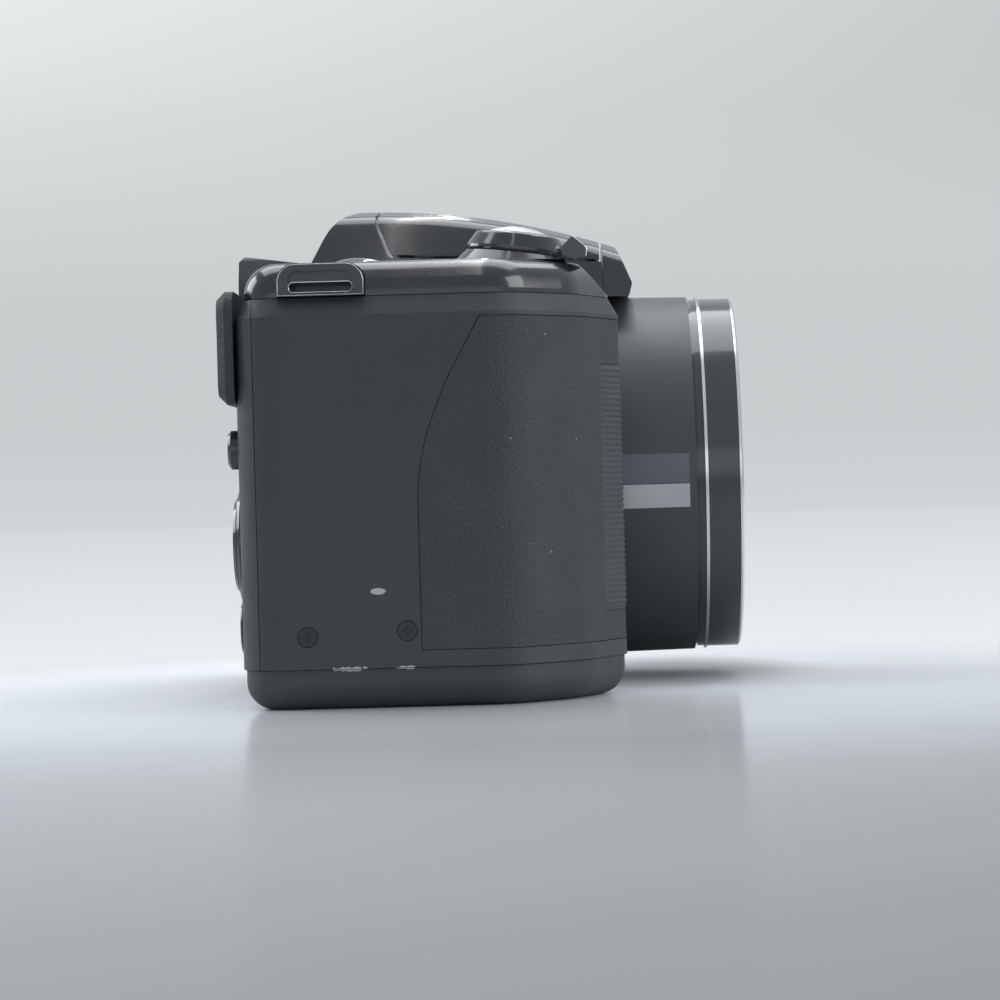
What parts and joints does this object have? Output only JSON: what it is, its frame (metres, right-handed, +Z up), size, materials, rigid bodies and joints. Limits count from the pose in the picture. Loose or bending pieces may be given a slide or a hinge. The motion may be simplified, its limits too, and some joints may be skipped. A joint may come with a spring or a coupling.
{
  "type": "bridge camera",
  "caption": "Bridge camera with a deep grip, motor zoom barrel, lifting flash, tilted zoom lever and battery door under the grip.",
  "frame": {"origin": "centre of the tripod socket's mouth, in the plane of the camera's base, under the lens axis", "axes": "+Z up out of the base, -Y along the lens axis towards the subject, +X towards the side away from the grip"},
  "size_m": [0.11, 0.079, 0.0772],
  "materials": {
    "body_black": "satin black moulded plastic with a fine grain",
    "rubber_black": "matt pebbled rubber covering",
    "gloss_black": "polished black plastic with fine speckle",
    "piano_black": "high gloss black plastic",
    "barrel_satin": "aluminium under satin black paint",
    "silver_plastic": "silver paint",
    "bright_trim": "bright plated trim",
    "lug_metal": "dark moulded lug with a bright edge",
    "steel": "plain steel",
    "screw_black": "black oxide steel",
    "aluminium_part": "die-cast or drawn aluminium",
    "brass_part": "plain brass",
    "glass_clear": "coated optical glass",
    "panel_clear": "clear window over a dark panel",
    "display": "unlit display panel",
    "diffuser": "ribbed clear plastic",
    "board_green": "circuit board with solder mask",
    "dark_plastic": "unpainted black moulding",
    "cell_wrap": "plain sleeve on a metal can, its density close to a real cell's",
    "spring_contact": "nickel-plated spring contact"
  },
  "bodies": {
    "body": {"front_cover": "body_black", "rear_cover": "body_black", "top_cover": "gloss_black", "bottom_cover": "body_black", "hump_front_cap": "gloss_black", "grip_rubber": "rubber_black", "finger_strip": "rubber_black", "thumb_rest": "rubber_black", "case_screws": "screw_black", "chassis": "aluminium_part", "main_board": "board_green", "lcd_panel": "display", "lcd_window": "panel_clear", "battery_box": "dark_plastic", "battery_contacts": "spring_contact", "tripod_socket": "brass_part", "strap_lugs": "lug_metal", "focus_lamp_window": "panel_clear", "flash_capacitor": "dark_plastic", "sound_parts": "dark_plastic", "switch_boards": "board_green", "output_jacks": "steel", "lens_outer_barrel": "barrel_satin", "lens_front_ring": "piano_black", "silver_line_ring": "bright_trim", "front_trim_ring": "bright_trim", "lens_guide_tube": "dark_plastic", "lens_base": "aluminium_part", "image_sensor": "dark_plastic", "zoom_motor": "steel", "control_base": "gloss_black", "selector_bezel": "piano_black", "hinge_pins": "steel", "battery_cells": "cell_wrap"},
    "cam_drum": {"cam_ring": "aluminium_part"},
    "pinion": {"zoom_pinion": "brass_part"},
    "outer_barrel": {"zoom_outer_barrel": "barrel_satin"},
    "inner_barrel": {"zoom_inner_barrel": "barrel_satin", "name_ring": "silver_plastic", "front_glass": "glass_clear", "rear_lens_group": "dark_plastic"},
    "flash": {"flash_head": "gloss_black", "flash_window": "diffuser", "flash_reflector": "aluminium_part"},
    "flash_switch": {"flash_button": "gloss_black"},
    "lever": {"zoom_lever": "piano_black"},
    "shutter": {"shutter_button": "silver_plastic"},
    "power": {"power_button": "silver_plastic"},
    "mode": {"mode_button": "gloss_black"},
    "playback": {"playback_button": "gloss_black"},
    "menu": {"menu_button": "gloss_black"},
    "delete": {"delete_button": "gloss_black"},
    "movie": {"movie_button": "gloss_black"},
    "selector_cross": {"selector_carrier": "dark_plastic"},
    "selector": {"multi_selector": "silver_plastic"},
    "ok": {"ok_button": "silver_plastic"},
    "door": {"battery_door": "body_black", "door_contacts": "spring_contact"},
    "latch": {"door_latch": "body_black"},
    "terminals": {"terminal_cover": "rubber_black"}
  },
  "joints": [
    {"name": "cam_turn", "type": "hinge", "parent": "body", "child": "cam_drum", "pos_m": [0, 0, 0.0333], "axis": [0, 1, 0], "range_deg": [0, 138]},
    {"name": "pinion_turn", "type": "hinge", "parent": "body", "child": "pinion", "pos_m": [-0.03085, 0, 0.0333], "axis": [0, 1, 0], "range_deg": [-943, 0]},
    {"name": "outer_barrel_slide", "type": "slide", "parent": "body", "child": "outer_barrel", "axis": [0, -1, 0], "range_m": [0, 0.026]},
    {"name": "inner_barrel_slide", "type": "slide", "parent": "outer_barrel", "child": "inner_barrel", "axis": [0, -1, 0], "range_m": [0, 0.023]},
    {"name": "flash_lift", "type": "hinge", "parent": "body", "child": "flash", "pos_m": [0, -0.0088, 0.0749], "axis": [-1, 0, 0], "range_deg": [0, 40]},
    {"name": "flash_switch_press", "type": "slide", "parent": "body", "child": "flash_switch", "axis": [0, 0, -1], "range_m": [0, 0.0005], "stiffness_N_per_m": 250},
    {"name": "lever_turn", "type": "hinge", "parent": "body", "child": "lever", "pos_m": [-0.049, -0.0276, 0.0668], "axis": [0, -0.1305, 0.9914], "range_deg": [-20, 20], "stiffness_Nm_per_rad": 0.02},
    {"name": "shutter_press", "type": "slide", "parent": "body", "child": "shutter", "axis": [0, 0.1305, -0.9914], "range_m": [0, 0.0008], "stiffness_N_per_m": 500},
    {"name": "power_press", "type": "slide", "parent": "body", "child": "power", "axis": [0, 0, -1], "range_m": [0, 0.0004], "stiffness_N_per_m": 250},
    {"name": "mode_press", "type": "slide", "parent": "body", "child": "mode", "axis": [0, -1, 0], "range_m": [0, 0.0004], "stiffness_N_per_m": 250},
    {"name": "playback_press", "type": "slide", "parent": "body", "child": "playback", "axis": [0, -1, 0], "range_m": [0, 0.0004], "stiffness_N_per_m": 250},
    {"name": "menu_press", "type": "slide", "parent": "body", "child": "menu", "axis": [0, -1, 0], "range_m": [0, 0.0004], "stiffness_N_per_m": 250},
    {"name": "delete_press", "type": "slide", "parent": "body", "child": "delete", "axis": [0, -1, 0], "range_m": [0, 0.0004], "stiffness_N_per_m": 250},
    {"name": "movie_press", "type": "slide", "parent": "body", "child": "movie", "axis": [0, -1, 0], "range_m": [0, 0.0004], "stiffness_N_per_m": 250},
    {"name": "selector_side_tilt", "type": "hinge", "parent": "body", "child": "selector_cross", "pos_m": [-0.05, 0.0135, 0.024], "axis": [0, 0, 1], "range_deg": [-3, 3], "stiffness_Nm_per_rad": 0.02},
    {"name": "selector_up_tilt", "type": "hinge", "parent": "selector_cross", "child": "selector", "pos_m": [-0.05, 0.0135, 0.024], "axis": [1, 0, 0], "range_deg": [-3, 3], "stiffness_Nm_per_rad": 0.02},
    {"name": "ok_press", "type": "slide", "parent": "selector", "child": "ok", "axis": [0, -1, 0], "range_m": [0, 0.0004], "stiffness_N_per_m": 250},
    {"name": "door_open", "type": "hinge", "parent": "body", "child": "door", "pos_m": [-0.0342, 0, 0.0016], "axis": [0, -1, 0], "range_deg": [0, 90]},
    {"name": "latch_slide", "type": "slide", "parent": "door", "child": "latch", "axis": [1, 0, 0], "range_m": [0, 0.0025]},
    {"name": "terminal_cover_open", "type": "hinge", "parent": "body", "child": "terminals", "pos_m": [0.041, -0.006, 0.031], "axis": [0, 0, -1], "range_deg": [0, 80]}
  ],
  "couplings": [
    {"joint": "cam_turn", "follows": "outer_barrel_slide", "rad_per_m": 80.554},
    {"joint": "pinion_turn", "follows": "outer_barrel_slide", "rad_per_m": -537.7},
    {"joint": "inner_barrel_slide", "follows": "outer_barrel_slide", "ratio": 0.76923}
  ]
}
